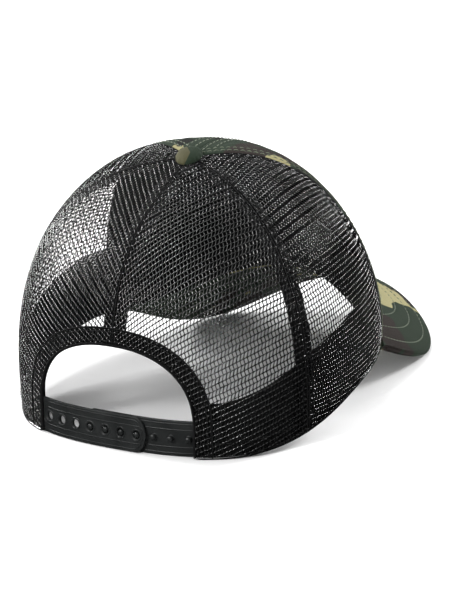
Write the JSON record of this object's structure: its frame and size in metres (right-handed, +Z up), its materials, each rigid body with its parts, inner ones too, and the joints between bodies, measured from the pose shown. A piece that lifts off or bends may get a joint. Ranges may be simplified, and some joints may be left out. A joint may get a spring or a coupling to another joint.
{
  "type": "trucker mesh cap",
  "caption": "Adult cap with camouflage front panels and curved peak, black net side and rear panels, a rear arch opening and a plastic snap strap.",
  "frame": {"origin": "on the floor under the middle of the cap's bounding box, as the cap stands on the back of its rim and the two low sides of its peak", "axes": "+Z up, +Y forwards out of the peak, +X towards the wearer's right"},
  "size_m": [0.1934, 0.2444, 0.1386],
  "materials": {
    "camouflage_twill": "cotton twill with a woodland camouflage print",
    "buckram": "stiff open-weave lining",
    "net": "black polyester net with a soft sheen",
    "seam_tape": "black woven tape",
    "sweatband_cotton": "black cotton twill over thin padding",
    "rivet_metal": "satin",
    "peak_board": "matt plastic board",
    "snap_plastic": "satin moulded plastic"
  },
  "bodies": {
    "cap": {"front_panel_left": "camouflage_twill", "front_panel_right": "camouflage_twill", "front_lining_left": "buckram", "front_lining_right": "buckram", "side_panel_left": "net", "side_panel_right": "net", "rear_panel_left": "net", "rear_panel_right": "net", "seam_tape_centre_front": "seam_tape", "seam_tape_front_left": "seam_tape", "seam_tape_front_right": "seam_tape", "seam_tape_rear_left": "seam_tape", "seam_tape_rear_right": "seam_tape", "seam_tape_centre_back": "seam_tape", "arch_facing": "net", "sweatband": "sweatband_cotton", "button_shell": "camouflage_twill", "button_rivet": "rivet_metal", "peak_top": "camouflage_twill", "peak_board": "peak_board", "peak_under": "camouflage_twill", "hole_strap_tab": "snap_plastic", "peg_strap_tab": "snap_plastic"},
    "hole_tongue": {"hole_strap": "snap_plastic"},
    "peg_tongue": {"peg_strap": "snap_plastic"}
  },
  "joints": [
    {"name": "hole_tongue_swing", "type": "hinge", "parent": "cap", "child": "hole_tongue", "pos_m": [-0.04544, -0.11507, 0.00969], "axis": [-0.0209, -0.0456, -0.9987], "range_deg": [0, 35], "stiffness_Nm_per_rad": 0.03},
    {"name": "peg_tongue_swing", "type": "hinge", "parent": "cap", "child": "peg_tongue", "pos_m": [0.04782, -0.11204, 0.00961], "axis": [0.0156, -0.041, -0.999], "range_deg": [0, 25], "stiffness_Nm_per_rad": 0.03}
  ]
}
